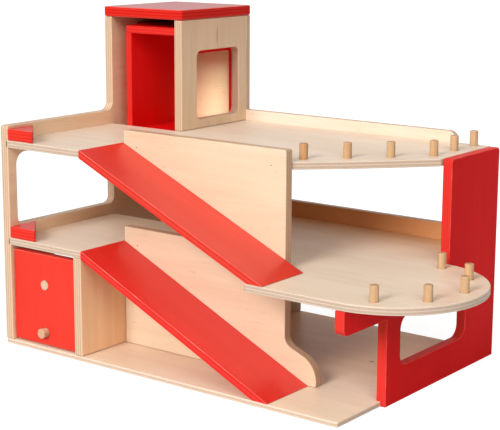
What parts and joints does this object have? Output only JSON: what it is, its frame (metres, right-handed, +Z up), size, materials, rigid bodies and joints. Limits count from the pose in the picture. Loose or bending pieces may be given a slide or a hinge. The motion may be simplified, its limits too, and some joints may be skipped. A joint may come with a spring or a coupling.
{
  "type": "toy parking garage",
  "caption": "Wooden toy parking garage with ramps between levels, a tower with a sliding lift car, a swinging garage door, peg rails and a round-ended middle deck",
  "frame": {"origin": "on the floor, under the middle of the garage's bounding box", "axes": "+X along the garage's length, from the lift tower to the deck's round end; +Y from the garage door's side to the back panel; +Z up"},
  "size_m": [0.6056, 0.338, 0.413],
  "materials": {
    "red_paint": "bright red satin paint on birch plywood",
    "birch_ply": "bare birch plywood, fine straight grain, clear matt lacquer",
    "pale_birch_ply": "paler bare birch plywood, clear matt lacquer, dark and light plies at the edges",
    "dowel_wood": "turned hardwood dowel, bare, end grain at the rounded tips",
    "nail_steel": "dull steel wire"
  },
  "bodies": {
    "garage": {"right_end_panel": "red_paint", "tower_roof": "red_paint", "upper_ramp": "red_paint", "lower_ramp": "red_paint", "upper_stop_block": "red_paint", "mid_stop_block": "red_paint", "left_end_panel": "birch_ply", "back_panel": "birch_ply", "upper_deck": "birch_ply", "garage_divider": "birch_ply", "tower_side_panel": "birch_ply", "base_board": "pale_birch_ply", "mid_deck": "pale_birch_ply", "guard_board": "pale_birch_ply", "upper_peg_1": "dowel_wood", "upper_peg_2": "dowel_wood", "upper_peg_3": "dowel_wood", "upper_peg_4": "dowel_wood", "upper_peg_5": "dowel_wood", "upper_peg_6": "dowel_wood", "mid_peg_1": "dowel_wood", "mid_peg_2": "dowel_wood", "mid_peg_3": "dowel_wood", "mid_peg_4": "dowel_wood", "mid_peg_5": "dowel_wood", "guard_nail_1": "nail_steel", "guard_nail_2": "nail_steel", "guard_nail_3": "nail_steel"},
    "lift_car": {"lift_floor": "red_paint", "lift_roof": "red_paint", "lift_left_wall": "red_paint", "lift_right_wall": "red_paint", "lift_side_runner": "red_paint"},
    "door": {"garage_door": "red_paint", "door_knob": "dowel_wood", "door_dowel_plug": "dowel_wood", "door_hinge_pin_left": "nail_steel", "door_hinge_pin_right": "nail_steel"}
  },
  "joints": [
    {"name": "lift_slide", "type": "slide", "parent": "garage", "child": "lift_car", "axis": [0, 0, 1], "range_m": [-0.239, 0.01]},
    {"name": "door_hinge", "type": "hinge", "parent": "garage", "child": "door", "pos_m": [-0.23603, -0.155, 0.1154], "axis": [-1, 0, 0], "range_deg": [-90, 105]}
  ]
}
